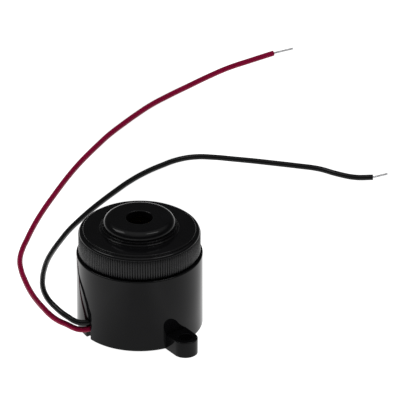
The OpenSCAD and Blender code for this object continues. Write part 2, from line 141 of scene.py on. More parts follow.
@dataclass(frozen=True)
class Finish:
    """One procedural finish, built on Object coordinates.

    Args:
        name: Name of the material.
        colour: Base colour, linear.
        shade: Second colour that the base drifts towards.
        roughness: Lowest and highest roughness.
        metallic: 1 for bare metal.
        ior: Index of refraction of the surface.
        grain: Kind of fine structure.
        grain_mm: Size of that structure in millimetres.
        relief: Strength of the bump, 0 to 1.
        coat: Weight of a clear coat.
    """

    name: str
    colour: Colour
    shade: Colour
    roughness: tuple[float, float] = (0.3, 0.4)
    metallic: float = 0.0
    ior: float = 1.45
    grain: Grain = Grain.MOULDED
    grain_mm: float = 0.4
    relief: float = 0.1
    coat: float = 0.0

    def build(self) -> bpy.types.Material:
        """Makes the material, or returns it if it is already there.

        Returns:
            The finished material.
        """
        title = f"{self.name}_finish"
        found = bpy.data.materials.get(title)
        if found is not None:
            return found
        material = bpy.data.materials.new(title)
        material.use_nodes = True
        tree = material.node_tree
        tree.nodes.clear()
        place = tree.nodes.new("ShaderNodeTexCoord").outputs["Object"]
        fine = self._fine(tree, place)
        cloudy = self._noise(tree, place, CLOUD_GRAINS * self.grain_mm, CLOUD_DETAIL)
        bump = add_node(tree, "ShaderNodeBump", None, Height=fine, Strength=self.relief,
                        Distance=RELIEF_GRAINS * self.grain_mm * MM)
        shader = add_node(tree, "ShaderNodeBsdfPrincipled", None, Metallic=self.metallic,
                          IOR=self.ior, Coat_Weight=self.coat, Coat_Roughness=COAT_ROUGHNESS,
                          Normal=bump.outputs["Normal"])
        self._mix_colour(tree, cloudy, shader.inputs["Base Color"])
        self._spread(tree, cloudy, fine, shader.inputs["Roughness"])
        add_node(tree, "ShaderNodeOutputMaterial", None, Surface=shader.outputs["BSDF"])
        return material

    def _noise(self, tree: Tree, place: Socket, size_mm: float, detail: float,
               stretch: Point = (1.0, 1.0, 1.0)) -> Socket:
        """Adds a noise whose features are size_mm across.

        Args:
            tree: Tree to add to.
            place: Coordinates to read.
            size_mm: Size of a feature.
            detail: Octaves of detail.
            stretch: Scale of the coordinates along each axis.

        Returns:
            The noise's value.
        """
        mapping = add_node(tree, "ShaderNodeMapping", None, Vector=place, Scale=stretch)
        noise = add_node(tree, "ShaderNodeTexNoise", None, Vector=mapping.outputs["Vector"],
                         Scale=1.0 / (size_mm * MM), Detail=detail)
        return noise.outputs["Fac"]

    def _fine(self, tree: Tree, place: Socket) -> Socket:
        """Adds the fine structure that the grain asks for.

        Args:
            tree: Tree to add to.
            place: Coordinates to read.

        Returns:
            The height of the structure.
        """
        if self.grain in GRAIN_WAVE:
            wave = add_node(tree, "ShaderNodeTexWave", GRAIN_WAVE[self.grain], Vector=place,
                            Scale=WAVE_SCALE / (self.grain_mm * MM), Distortion=WAVE_DISTORTION)
            return wave.outputs["Fac"]
        detail, stretch = GRAIN_NOISE[self.grain]
        return self._noise(tree, place, self.grain_mm, detail, stretch)

    def _mix_colour(self, tree: Tree, factor: Socket, target: Socket) -> None:
        """Drifts the base colour between colour and shade.

        Args:
            tree: Tree to add to.
            factor: Slow noise.
            target: Socket to feed.
        """
        ramp = add_node(tree, "ShaderNodeValToRGB", None, Fac=factor)
        stops = ((COLOUR_FROM, self.colour), (COLOUR_TO, self.shade))
        for element, (position, colour) in zip(ramp.color_ramp.elements, stops):
            element.position, element.color = position, (*colour, 1.0)
        tree.links.new(ramp.outputs["Color"], target)

    def _spread(self, tree: Tree, slow: Socket, fine: Socket, target: Socket) -> None:
        """Varies the roughness with the slow and the fine structure.

        Args:
            tree: Tree to add to.
            slow: Slow noise.
            fine: Fine structure.
            target: Socket to feed.
        """
        both = add_node(tree, "ShaderNodeMath", {"operation": "MULTIPLY"}, i0=slow, i1=fine)
        spread = add_node(tree, "ShaderNodeMapRange", None, Value=both.outputs["Value"],
                          From_Min=ROUGH_FROM, From_Max=ROUGH_TO,
                          To_Min=self.roughness[0], To_Max=self.roughness[1])
        tree.links.new(spread.outputs["Result"], target)


@dataclass(frozen=True)
class BandedBody(Finish):
    """A lacquered axial piece with painted rings along X.

    Args:
        middle_mm: Middle of the body along X.
        length_mm: Length of the body.
        bands: Place along the body, from 0 to 1, half width and colour of each ring.
    """

    middle_mm: float = 0.0
    length_mm: float = 3.3
    bands: tuple[tuple[float, float, Colour], ...] = ()

    def _mix_colour(self, tree: Tree, factor: Socket, target: Socket) -> None:
        """Paints the rings over the lacquer.

        Args:
            tree: Tree to add to.
            factor: Slow noise.
            target: Socket to feed.
        """
        super()._mix_colour(tree, factor, target)
        lacquer = target.links[0].from_socket
        place = tree.nodes.new("ShaderNodeTexCoord").outputs["Object"]
        split = add_node(tree, "ShaderNodeSeparateXYZ", None, Vector=place)
        start = (self.middle_mm - self.length_mm / 2) * MM
        along = add_node(tree, "ShaderNodeMapRange", None, Value=split.outputs["X"],
                         From_Min=start, From_Max=start + self.length_mm * MM)
        for place_on, half, paint in self.bands:
            near = add_node(tree, "ShaderNodeMath", {"operation": "COMPARE"},
                            i0=along.outputs["Result"], i1=place_on, i2=half)
            mix = add_node(tree, "ShaderNodeMix", {"data_type": "RGBA"},
                           Factor=near.outputs["Value"])
            colours = [s for s in mix.inputs if s.type == "RGBA"]
            colours[1].default_value = (*paint, 1.0)
            tree.links.new(lacquer, colours[0])
            lacquer = next(s for s in mix.outputs if s.type == "RGBA")
        tree.links.new(lacquer, target)


class Finishes:
    """Every finish of the buzzer, by the piece that wears it."""

    housing = Finish("housing_plastic", (0.0038, 0.0038, 0.0042), (0.0048, 0.0048, 0.0054),
                     (0.015, 0.035), ior=1.22, grain_mm=0.35, relief=0.03)
    cap = Finish("cap_plastic", (0.0038, 0.0038, 0.0042), (0.005, 0.005, 0.0056),
                 (0.07, 0.13), ior=1.24, grain_mm=0.3, relief=0.05)
    # Grip ribs: the cap's own plastic, rougher for the knurl; their lighter colour is painted
    # light for the light the ribs catch.
    grip = Finish("cap_plastic_painted_lit", (0.005, 0.005, 0.0056), (0.007, 0.007, 0.0078),
                  (0.2, 0.3), ior=1.32, grain_mm=0.2, relief=0.08)
    resin = Finish("sealing_resin", (0.006, 0.006, 0.007), (0.011, 0.011, 0.012),
                   (0.25, 0.4), ior=1.5, grain=Grain.CAST, grain_mm=1.2, relief=0.3)
    red_pvc = Finish("red_insulation", (0.22, 0.002, 0.03), (0.26, 0.003, 0.04),
                     (0.25, 0.35), ior=1.15, grain_mm=0.25, relief=0.08)
    black_pvc = Finish("black_insulation", (0.004, 0.004, 0.0042), (0.006, 0.006, 0.0064),
                       (0.2, 0.3), ior=1.25, grain_mm=0.25, relief=0.08)
    tinned = Finish("tinned_strands", (0.42, 0.42, 0.43), (0.55, 0.55, 0.56),
                    (0.25, 0.4), metallic=1.0, grain=Grain.ROLLED, grain_mm=0.1, relief=0.2)
    brass = Finish("brass_sheet", (0.62, 0.42, 0.13), (0.7, 0.5, 0.19),
                   (0.2, 0.34), metallic=1.0, grain=Grain.TURNED, grain_mm=0.3, relief=0.1)
    ceramic = Finish("piezo_ceramic", (0.55, 0.48, 0.34), (0.62, 0.56, 0.42),
                     (0.5, 0.65), grain=Grain.FIRED, grain_mm=0.15, relief=0.2)
    silver = Finish("fired_silver", (0.66, 0.65, 0.62), (0.78, 0.77, 0.74),
                    (0.35, 0.5), metallic=1.0, grain=Grain.FIRED, grain_mm=0.2, relief=0.15)
    solder = Finish("solder", (0.5, 0.5, 0.51), (0.62, 0.62, 0.64),
                    (0.15, 0.3), metallic=1.0, grain=Grain.CAST, grain_mm=0.3, relief=0.2)
    glue = Finish("silicone", (0.6, 0.6, 0.56), (0.68, 0.68, 0.64),
                  (0.45, 0.6), grain=Grain.CAST, grain_mm=0.4, relief=0.3)
    retainer = Finish("retainer_plastic", (0.014, 0.014, 0.015), (0.02, 0.02, 0.022),
                      (0.4, 0.5), grain_mm=0.3, relief=0.15)
    board = Finish("phenolic_board", (0.3, 0.16, 0.05), (0.38, 0.22, 0.08),
                   (0.4, 0.55), grain=Grain.FIBROUS, grain_mm=0.5, relief=0.15)
    ferrite = Finish("ferrite", (0.03, 0.03, 0.032), (0.05, 0.05, 0.054),
                     (0.5, 0.65), grain=Grain.FIRED, grain_mm=0.2, relief=0.25)
    copper = Finish("enamelled_copper", (0.52, 0.15, 0.04), (0.6, 0.2, 0.06),
                    (0.2, 0.3), metallic=1.0, grain=Grain.WOUND, grain_mm=0.18, relief=0.8)
    legs = Finish("tinned_wire", (0.55, 0.55, 0.56), (0.66, 0.66, 0.67),
                  (0.2, 0.35), metallic=1.0, grain=Grain.ROLLED, grain_mm=0.1, relief=0.15)
    moulding = Finish("epoxy_moulding", (0.012, 0.012, 0.012), (0.02, 0.02, 0.02),
                      (0.5, 0.62), grain=Grain.FIRED, grain_mm=0.12, relief=0.25)
    wire_black = Finish("black_wire", (0.01, 0.01, 0.01), (0.016, 0.016, 0.016),
                        (0.35, 0.45), grain_mm=0.2, relief=0.1)
    wire_red = Finish("red_wire", (0.35, 0.012, 0.012), (0.42, 0.02, 0.02),
                      (0.35, 0.45), grain_mm=0.2, relief=0.1)
    wire_blue = Finish("blue_wire", (0.012, 0.04, 0.28), (0.02, 0.06, 0.34),
                       (0.35, 0.45), grain_mm=0.2, relief=0.1)

    @staticmethod
    def axial(name: str, node: str, lacquer: Colour, rings: tuple[Colour, ...]) -> BandedBody:
        """A lacquered axial body with its rings spread along it.

        Args:
            name: Name of the material.
            node: CAD node of the body.
            lacquer: Colour of the lacquer.
            rings: Colours of the rings, in order along X.

        Returns:
            The finish, centred on the node.
        """
        low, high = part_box(node)
        first, span, half_width, shaded = 0.2, 0.6, 0.05, 0.85
        spread = [first + span * i / max(len(rings) - 1, 1) for i in range(len(rings))]
        bands = tuple((p, half_width, c) for p, c in zip(spread, rings))
        darker = tuple(shaded * c for c in lacquer)
        return BandedBody(name, lacquer, darker, (0.25, 0.35), coat=0.4, grain_mm=0.3,
                          middle_mm=(low.x + high.x) / 2 / MM, length_mm=(high.x - low.x) / MM,
                          bands=bands)


# --- Shapes ---


@dataclass(frozen=True)
class Corner:
    """A corner (r, z) of a turned profile, with the radius that rounds it, in metres."""

    r: float
    z: float
    round: float = 0.0


def rounded(corners: list[Corner], steps: int = 6) -> list[tuple[float, float]]:
    """Rounds the corners of a closed profile.

    Args:
        corners: Corners in order round the profile.
        steps: Segments in each rounded corner.

    Returns:
        Points of the profile, with a close pair of points where a round starts or ends,
        so that the flat beside it shades flat.
    """
    points: list[tuple[float, float]] = []
    count = len(corners)
    for i, corner in enumerate(corners):
        here = Vector((corner.r, corner.z))
        if corner.round <= 0.0:
            points.append((here.x, here.y))
            continue
        before = corners[i - 1]
        after = corners[(i + 1) % count]
        to_before = (Vector((before.r, before.z)) - here).normalized()
        to_after = (Vector((after.r, after.z)) - here).normalized()
        half = to_before.angle(to_after) / 2
        reach = corner.round / math.tan(half)
        centre = here + (to_before + to_after).normalized() * corner.round / math.sin(half)
        start = here + to_before * reach
        end = here + to_after * reach
        support = 0.04 * MM
        a = start - centre
        turn = a.angle_signed(end - centre)
        points.append(tuple(start + to_before * support))
        points += [tuple(centre + Matrix.Rotation(-turn * k / steps, 2) @ a)
                   for k in range(steps + 1)]
        points.append(tuple(end + to_after * support))
    return points


def lathe(profile: list[tuple[float, float]], segments: int) -> BMesh:
    """Turns a closed profile about Z.

    Args:
        profile: Points (r, z) of a closed outline that keeps clear of the axis.
        segments: Segments round the axis.

    Returns:
        A closed ring-shaped mesh with its faces outwards.
    """
    mesh = bmesh.new()
    rings = []
    for i in range(segments):
        angle = math.tau * i / segments
        c, s = math.cos(angle), math.sin(angle)
        rings.append([mesh.verts.new((r * c, r * s, z)) for r, z in profile])
    for i in range(segments):
        near, far = rings[i], rings[(i + 1) % segments]
        for k in range(len(profile)):
            n = (k + 1) % len(profile)
            mesh.faces.new((near[k], far[k], far[n], near[n]))
    bmesh.ops.recalc_face_normals(mesh, faces=mesh.faces)
    return mesh


def piece(name: str, mesh: BMesh, sharp: float = 35.0) -> Object:
    """Makes an object of a mesh, smooth except at corners.

    Args:
        name: Name of the object.
        mesh: The mesh, which is freed.
        sharp: Angle in degrees from which an edge stays sharp.

    Returns:
        The linked object.
    """
    data = bpy.data.meshes.new(name)
    mesh.to_mesh(data)
    mesh.free()
    data.polygons.foreach_set("use_smooth", [True] * len(data.polygons))
    data.set_sharp_from_angle(angle=math.radians(sharp))
    obj = bpy.data.objects.new(name, data)
    bpy.context.scene.collection.objects.link(obj)
    return obj


def baked(obj: Object) -> Object:
    """Turns what an object's modifiers make into its plain mesh.

    Args:
        obj: Object with live modifiers.

    Returns:
        The same object, with the result as its mesh and no modifiers.
    """
    bpy.context.view_layer.update()
    graph = bpy.context.evaluated_depsgraph_get()
    result = bpy.data.meshes.new_from_object(obj.evaluated_get(graph), depsgraph=graph)
    obj.modifiers.clear()
    old = obj.data
    obj.data = result
    if isinstance(old, bpy.types.Mesh):
        bpy.data.meshes.remove(old)
    result.name = obj.name
    return obj


def cut(obj: Object, tools: list[Object], how: str) -> Object:
    """Joins tools to an object, or cuts them from it.

    Args:
        obj: Object to change.
        tools: Closed tool objects, which are removed.
        how: UNION or DIFFERENCE.

    Returns:
        The same object, with the result as its mesh.
    """
    for tool in tools:
        step = obj.modifiers.new(tool.name, "BOOLEAN")
        step.operation = how
        step.solver = "EXACT"
        step.object = tool
    baked(obj)
    for tool in tools:
        bpy.data.objects.remove(tool)
    return obj


def block(name: str, low: Point, high: Point) -> Object:
    """A box between two corners, as a tool."""
    mesh = bmesh.new()
    bmesh.ops.create_cube(mesh, size=1.0)
    size = Vector(high) - Vector(low)
    middle = (Vector(high) + Vector(low)) / 2
    bmesh.ops.transform(mesh, matrix=Matrix.Translation(middle) @ Matrix.Diagonal((*size, 1.0)),
                        verts=mesh.verts)
    return piece(name, mesh)


def dress(obj: Object, finish: Finish) -> Object:
    """Gives an object one finish in place of whatever it has."""
    obj.data.materials.clear()
    obj.data.materials.append(finish.build())
    return obj


def settle(obj: Object, finish: Finish, slot: str, *nodes: str) -> Object:
    """Dresses a finished piece and enters it in the frame.

    Args:
        obj: The piece.
        finish: Its finish.
        slot: The record's slot of its finish; not used.
        nodes: CAD nodes that it stands for.

    Returns:
        The same piece.
    """
    dress(obj, finish)
    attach(obj, BODY)
    if nodes:
        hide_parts(*nodes)
    LOG.info("%s: %d faces", obj.name, len(getattr(obj.data, "polygons", ())))
    return obj


# --- Geometry Nodes ---


class NodeTree:
    """A small Geometry Nodes tree with named inputs."""

    def __init__(self, name: str) -> None:
        """Starts an empty tree with a geometry output.

        Args:
            name: Name of the tree.
        """
        self.tree = bpy.data.node_groups.new(name, "GeometryNodeTree")
        self.tree.interface.new_socket("Geometry", in_out="OUTPUT",
                                       socket_type="NodeSocketGeometry")
        self._source: Node | None = None

    def wants(self, name: str, kind: str) -> None:
        """Adds a named input of a kind such as Float, Int, Vector or Material."""
        self.tree.interface.new_socket(name, in_out="INPUT", socket_type=f"NodeSocket{kind}")

    def given(self, name: str) -> Socket:
        """The socket that holds the value of a named input."""
        if self._source is None:
            self._source = self.tree.nodes.new("NodeGroupInput")
        return self._source.outputs[name]

    def add(self, kind: str, settings: dict[str, object] | None = None,
            **inputs: object) -> Socket:
        """The first output of a new node, with options and inputs as add_node takes them."""
        return add_node(self.tree, kind, settings, **inputs).outputs[0]

    def math(self, how: str, a: object, b: object = 0.0) -> Socket:
        """Combines two values with a Math node."""
        return self.add("ShaderNodeMath", {"operation": how}, i0=a, i1=b)

    def finish(self, geometry: Socket, material: Socket) -> None:
        """Ends the tree in Realize Instances, smooth shading and Set Material."""
        real = self.add("GeometryNodeRealizeInstances", None, i0=geometry)
        smooth = self.add("GeometryNodeSetShadeSmooth", None, i0=real)
        dressed = self.add("GeometryNodeSetMaterial", None, Geometry=smooth, Material=material)
        add_node(self.tree, "NodeGroupOutput", None, i0=dressed)

    def grow(self, name: str, values: dict[str, object]) -> Object:
        """Runs the tree on an empty object and keeps the result as a plain mesh.

        Args:
            name: Name of the piece.
            values: Values of the named inputs.

        Returns:
            The piece, with no modifiers.
        """
        obj = bpy.data.objects.new(name, bpy.data.meshes.new(name))
        bpy.context.scene.collection.objects.link(obj)
        modifier = obj.modifiers.new(name, "NODES")
        modifier.node_group = self.tree
        for item in self.tree.interface.items_tree:
            if item.in_out == "INPUT":
                modifier[item.identifier] = values[item.name]
        return baked(obj)


def rib_ring_tree(sides: int = 10, end_width: float = 0.62) -> NodeTree:
    """A ring of upright ribs with rounded crests and drawn-in ends.

    Each rib has two rings of points between its ends, which move out to where the ends
    start to draw in.

    Args:
        sides: Sides of one rib.
        end_width: Width of a rib's ends as a part of its full width.

    Returns:
        The tree, with inputs Count, Ring Radius, Rib Radius, Height, End, Middle and Material.
    """
    tree = NodeTree("rib_ring")
    tree.wants("Count", "Int")
    for name in ("Ring Radius", "Rib Radius", "Height", "End", "Middle"):
        tree.wants(name, "Float")
    tree.wants("Material", "Material")
    height = tree.given("Height")
    rib = tree.add("GeometryNodeMeshCylinder", {"fill_type": "NGON"}, Vertices=sides,
                   Side_Segments=3, Radius=tree.given("Rib Radius"), Depth=height)
    here = tree.add("GeometryNodeInputPosition")
    x, y, z = add_node(tree.tree, "ShaderNodeSeparateXYZ", None, i0=here).outputs
    third = tree.math("DIVIDE", height, 3.0)
    is_end = tree.math("GREATER_THAN", tree.math("ABSOLUTE", z), third)
    across = tree.add("ShaderNodeMapRange", None, Value=is_end, To_Min=1.0, To_Max=end_width)
    drawn = tree.math("SUBTRACT", 3.0, tree.math(
        "DIVIDE", tree.math("MULTIPLY", tree.given("End"), 6.0), height))
    along = tree.add("ShaderNodeMapRange", None, Value=is_end, To_Min=drawn, To_Max=1.0)
    place = tree.add("ShaderNodeCombineXYZ", None, X=tree.math("MULTIPLY", x, across),
                     Y=tree.math("MULTIPLY", y, across), Z=tree.math("MULTIPLY", z, along))
    shaped = tree.add("GeometryNodeSetPosition", None, Geometry=rib, Position=place)
    spots = tree.add("GeometryNodeMeshCircle", None, Vertices=tree.given("Count"),
                     Radius=tree.given("Ring Radius"))
    step = tree.math("DIVIDE", math.tau, tree.given("Count"))
    angle = tree.math("MULTIPLY", tree.add("GeometryNodeInputIndex"), step)
    turn = tree.add("ShaderNodeCombineXYZ", None, Z=angle)
    ring = tree.add("GeometryNodeInstanceOnPoints", None, Points=spots, Instance=shaped,
                    Rotation=turn)
    lift = tree.add("ShaderNodeCombineXYZ", None, Z=tree.given("Middle"))
    raised = tree.add("GeometryNodeTransform", None, Geometry=ring, Translation=lift)
    tree.finish(raised, tree.given("Material"))
    return tree


def strand_tree(steps: int = 18, sides: int = 10) -> NodeTree:
    """Strands twisted round a straight one.

    Args:
        steps: Points of a strand in one turn.
        sides: Sides of a strand.

    Returns:
        The tree, with inputs Around, Strand Radius, Lay Radius, Length, Turns, Turn, Place
        and Material.
    """
    tree = NodeTree("twisted_strands")
    tree.wants("Around", "Int")
    for name in ("Strand Radius", "Lay Radius", "Length", "Turns"):
        tree.wants(name, "Float")
    for name, kind in (("Turn", "Vector"), ("Place", "Vector"), ("Material", "Material")):
        tree.wants(name, kind)
    spiral = tree.add("GeometryNodeCurveSpiral", None, Resolution=steps,
                      Rotations=tree.given("Turns"), Start_Radius=tree.given("Lay Radius"),
                      End_Radius=tree.given("Lay Radius"), Height=tree.given("Length"))
    spots = tree.add("GeometryNodeMeshLine", {"mode": "OFFSET"}, Count=tree.given("Around"),
                     Offset=(0.0, 0.0, 0.0))
    step = tree.math("DIVIDE", math.tau, tree.given("Around"))
    angle = tree.math("MULTIPLY", tree.add("GeometryNodeInputIndex"), step)
    turn = tree.add("ShaderNodeCombineXYZ", None, Z=angle)
    around = tree.add("GeometryNodeInstanceOnPoints", None, Points=spots, Instance=spiral,
                      Rotation=turn)
    end = tree.add("ShaderNodeCombineXYZ", None, Z=tree.given("Length"))
    middle = tree.add("GeometryNodeCurvePrimitiveLine", None, End=end)
    lines = tree.add("GeometryNodeRealizeInstances", None, i0=around)
    both = add_node(tree.tree, "GeometryNodeJoinGeometry", None, i0=lines)
    tree.tree.links.new(middle, both.inputs[0])
    section = tree.add("GeometryNodeCurvePrimitiveCircle", None, Resolution=sides,
                       Radius=tree.given("Strand Radius"))
    skin = tree.add("GeometryNodeCurveToMesh", None, Curve=both.outputs[0],
                    Profile_Curve=section, Fill_Caps=True)
    placed = tree.add("GeometryNodeTransform", None, Geometry=skin,
                      Translation=tree.given("Place"), Rotation=tree.given("Turn"))
    tree.finish(placed, tree.given("Material"))
    return tree


# --- Sub-assemblies ---


@dataclass
class Studio:
    """Camera, pale floor and soft light.

    Args:
        distance: Metres from the aim to the camera.
        elevation: Degrees of the camera over the floor.
        azimuth: Degrees from -Y round to the camera, about Z.
        aim: Steps right and away in metres, as the camera sees them, to what it looks at.
        lens_mm: Focal length.
        sensor_mm: Width of the sensor.
        clip: Nearest and farthest distance seen, in metres.
        floor_size: Side of the floor in metres.
        glow: Steps to the right in millimetres, and how brightly the floor glows there.
        sky: Height on the sky, 0 at the horizon, and how bright it is there.
        lamps: Name, place, size and power of each lamp.
    """

    distance: float = 1.5
    elevation: float = 29.15
    azimuth: float = 54.0
    aim: tuple[float, float] = (0.01432, 0.05859)
    lens_mm: float = 547.15
    sensor_mm: float = 36.0
    clip: tuple[float, float] = (0.05, 200.0)
    floor_size: float = 60.0
    glow: tuple[tuple[float, float], ...] = (
        (-200.0, 1.1), (-60.0, 1.5), (-27.0, 1.5), (-20.0, 1.3), (-7.0, 1.0), (7.0, 1.0),
        (20.0, 1.35), (30.0, 1.18), (200.0, 1.0))
    sky: tuple[tuple[float, float], ...] = (
        (0.0, 0.9), (0.02, 0.9), (0.1, 0.2), (0.3, 0.06), (0.6, 0.06), (1.0, 0.1))
    lamps: tuple[tuple[str, Point, tuple[float, float], float], ...] = (
        ("left_box", (-0.42, 0.14, 0.66), (0.34, 0.3), 1.35),
        ("right_box", (0.26, 0.08, 0.75), (0.15, 0.26), 0.7))

    def camera(self) -> None:
        """Creates the camera and makes it the scene's."""
        turn = Matrix.Rotation(math.radians(self.azimuth), 4, "Z")
        tilt = math.radians(self.elevation)
        target = Vector((*self.aim, 0.0))
        back = Vector((0.0, -math.cos(tilt), math.sin(tilt)))
        data = bpy.data.cameras.new("camera")
        data.sensor_width = self.sensor_mm
        data.lens = self.lens_mm
        data.clip_start, data.clip_end = self.clip
        camera = bpy.data.objects.new("camera", data)
        bpy.context.scene.collection.objects.link(camera)
        camera.location = turn @ (target + back * self.distance)
        camera.rotation_euler = (-(turn @ back)).to_track_quat("-Z", "Y").to_euler()
        bpy.context.scene.camera = camera

    def floor(self) -> None:
        """Lays a plain white floor that glows enough to carry no shadow."""
        mesh = bmesh.new()
        bmesh.ops.create_grid(mesh, x_segments=1, y_segments=1, size=self.floor_size / 2)
        floor = piece("floor", mesh)
        material = bpy.data.materials.new("white_floor")
        material.use_nodes = True
        tree = material.node_tree
        shader = tree.nodes["Principled BSDF"]
        for name, value in (("Base Color", (0.05, 0.05, 0.05, 1.0)), ("Roughness", 1.0),
                            ("Specular IOR Level", 0.0), ("Emission Color", (1.0,) * 4)):
            shader.inputs[name].default_value = value
        turn = math.radians(self.azimuth)
        place = tree.nodes.new("ShaderNodeTexCoord").outputs["Object"]
        across = add_node(tree, "ShaderNodeVectorMath", {"operation": "DOT_PRODUCT"}, i0=place,
                          i1=(math.cos(turn), math.sin(turn), 0.0))
        first, last = self.glow[0][0], self.glow[-1][0]
        along = add_node(tree, "ShaderNodeMapRange", None, Value=across.outputs["Value"],
                         From_Min=first * MM, From_Max=last * MM)
        most = 2.0  # a curve's values end at 1, so its levels are parts of this one
        glow = add_node(tree, "ShaderNodeFloatCurve", None, Value=along.outputs["Result"])
        curve = glow.mapping.curves[0]
        for _ in self.glow[2:]:
            curve.points.new(0.5, 0.5)
        for point, (x, level) in zip(curve.points, self.glow):
            point.location = ((x - first) / (last - first), level / most)
            point.handle_type = "VECTOR"
        glow.mapping.update()
        scaled = add_node(tree, "ShaderNodeMath", {"operation": "MULTIPLY"},
                          i0=glow.outputs["Value"], i1=most)
        tree.links.new(scaled.outputs["Value"], shader.inputs["Emission Strength"])
        floor.data.materials.append(material)

    def light(self) -> None:
        """Sets a soft sky that is bright only near the horizon, and hangs the lamps."""
        world = bpy.data.worlds.new("studio")
        bpy.context.scene.world = world
        world.use_nodes = True
        tree = world.node_tree
        background = tree.nodes["Background"]
        way = tree.nodes.new("ShaderNodeTexCoord").outputs["Generated"]
        split = add_node(tree, "ShaderNodeSeparateXYZ", None, Vector=way)
        ramp = add_node(tree, "ShaderNodeValToRGB", None, Fac=split.outputs["Z"])
        for stop, level in self.sky:
            element = (ramp.color_ramp.elements.new(stop) if stop not in (0.0, 1.0)
                       else ramp.color_ramp.elements[int(stop)])
            element.color = (level, level, level, 1.0)
        tree.links.new(ramp.outputs["Color"], background.inputs["Color"])
        for name, place, size, power in self.lamps:
            self.lamp(name, place, size, power)

    def lamp(self, name: str, place: Point, size: tuple[float, float], power: float) -> None:
        """Hangs one soft lamp that faces the buzzer.

        Args:
            name: Name of the lamp.
            place: Steps to the right, away and up as the camera sees them, in metres.
            size: Width and height of the lamp in metres.
            power: Power in watts.
        """
        data = bpy.data.lights.new(name, "AREA")
        data.shape = "RECTANGLE"
        data.size, data.size_y = size
        data.energy = power
        holder = bpy.data.objects.new(name, data)
        holder.location = Matrix.Rotation(math.radians(self.azimuth), 4, "Z") @ Vector(place)
        holder.rotation_euler = (-holder.location).to_track_quat("-Z", "Y").to_euler()
        bpy.context.scene.collection.objects.link(holder)

    def colours(self) -> None:
        """Keeps the picture's tones as they are lit."""
        settings = bpy.context.scene.view_settings
        settings.view_transform, settings.look = "Standard", "None"
        settings.exposure, settings.gamma = 0.0, 1.0


@dataclass
class Lead:
    """One flying lead: insulation along its route, and bare twisted strands at its end.

    Args:
        name: CAD node of the insulation.
        route_mm: Points of the centre line, from the board outwards.
        tip_mm: Length of the bare strands.
        tip_turn: Degrees that the strands turn off the insulation's heading, about Z.
        exit_mm: Where the lead leaves the housing; not used.
        finish: Finish of the insulation.
        slot: The record's slot of that finish.
        diameter: Over the insulation, in metres.
        strands_d: Over the bundle of strands, in metres.
    """

    name: str
    route_mm: list[Point]
    tip_mm: float
    tip_turn: float
    exit_mm: Point
    finish: Finish
    slot: str
    diameter: float = 1.4 * MM
    strands_d: float = 0.5 * MM

    @property
    def route(self) -> list[Vector]:
        """Points of the route in metres."""
        return [Vector(p) * MM for p in self.route_mm]

    def cord(self) -> Object:
        """Builds the insulation as one smooth curve through the route's points."""
        data = bpy.data.curves.new(self.name, "CURVE")
        data.dimensions = "3D"
        data.resolution_u = data.render_resolution_u = 8
        data.bevel_depth = self.diameter / 2
        data.bevel_resolution = 6
        data.use_fill_caps = True
        data.twist_mode = "Z_UP"
        spline = data.splines.new("BEZIER")
        route = self.route
        spline.bezier_points.add(len(route) - 1)
        for point, place in zip(spline.bezier_points, route):
            point.co = place
            point.handle_left_type = "AUTO"
            point.handle_right_type = "AUTO"
        obj = bpy.data.objects.new(f"{self.name}_insulation", data)
        bpy.context.scene.collection.objects.link(obj)
        return obj

    def tip(self, tree: NodeTree) -> Object:
        """Grows the bare strands out of the end of the insulation.

        Args:
            tree: The tree of twisted strands.

        Returns:
            The strands.
        """
        route = self.route
        heading = (route[-1] - route[-2]).normalized()
        heading.rotate(Matrix.Rotation(math.radians(self.tip_turn), 3, "Z"))
        buried, turns_per_mm = 0.8 * MM, 0.26
        strand_r = self.strands_d / 6
        full, lay = 1.12, 1.85  # radius of a strand and of their ring, in even shares
        turn = heading.to_track_quat("Z", "Y").to_euler()
        return tree.grow(f"{self.name}_strands", {
            "Around": 6, "Strand Radius": full * strand_r, "Lay Radius": lay * strand_r,
            "Length": self.tip_mm * MM + buried, "Turns": turns_per_mm * self.tip_mm,
            "Turn": tuple(turn), "Place": tuple(route[-1] - buried * heading),
            "Material": Finishes.tinned.build()})

    def build(self, tree: NodeTree) -> None:
        """Args:
            tree: The tree of twisted strands.
        """
        cord = self.cord()
        tip = self.tip(tree)
        settle(cord, self.finish, self.slot, self.name)
        settle(tip, Finishes.tinned, "tinned_strands", f"{self.name}_tip")


LIE = 0.7  # height of a centre line that lies on the table
RED_ROUTE: list[Point] = [
    (0, -5.5, 7.6), (0, -5.5, 5.1), (0, -5.9, 3.9), (0, -6.9, 2.9), (0, -8.3, 2.6),
    (0, -14.3, 2.6), (-0.1, -15, 2.6), (-0.4, -15.7, 2.55), (-1.4, -16.7, 2.45),
    (-2.8, -17.1, 2.3), (-5.3, -17.4, 2.15), (-8.4, -17.9, 2), (-11.8, -17.8, 1.9),
    (-15.9, -17, 1.65), (-21, -15.6, 1.1), (-25.9, -14, 0.8), (-30.5, -12.2, LIE),
    (-35, -10.2, LIE), (-39.4, -7.6, LIE), (-43.2, -4.3, LIE), (-46.8, -0.4, LIE),
    (-50.2, 3.4, LIE), (-53.7, 7.6, LIE), (-57.1, 12, LIE), (-60.3, 16.4, LIE),
    (-63.5, 20.9, LIE), (-67, 26, LIE), (-70.2, 31, LIE), (-73.1, 36, LIE),
    (-75.8, 41, LIE), (-78.6, 46.5, LIE), (-80.9, 52, LIE), (-83.2, 58, LIE),
    (-85.3, 64.3, LIE), (-86.8, 71.1, LIE), (-88, 78, LIE), (-89.2, 85.1, LIE),
    (-90, 92.1, LIE), (-89.9, 99, LIE), (-89.7, 106.1, LIE)]
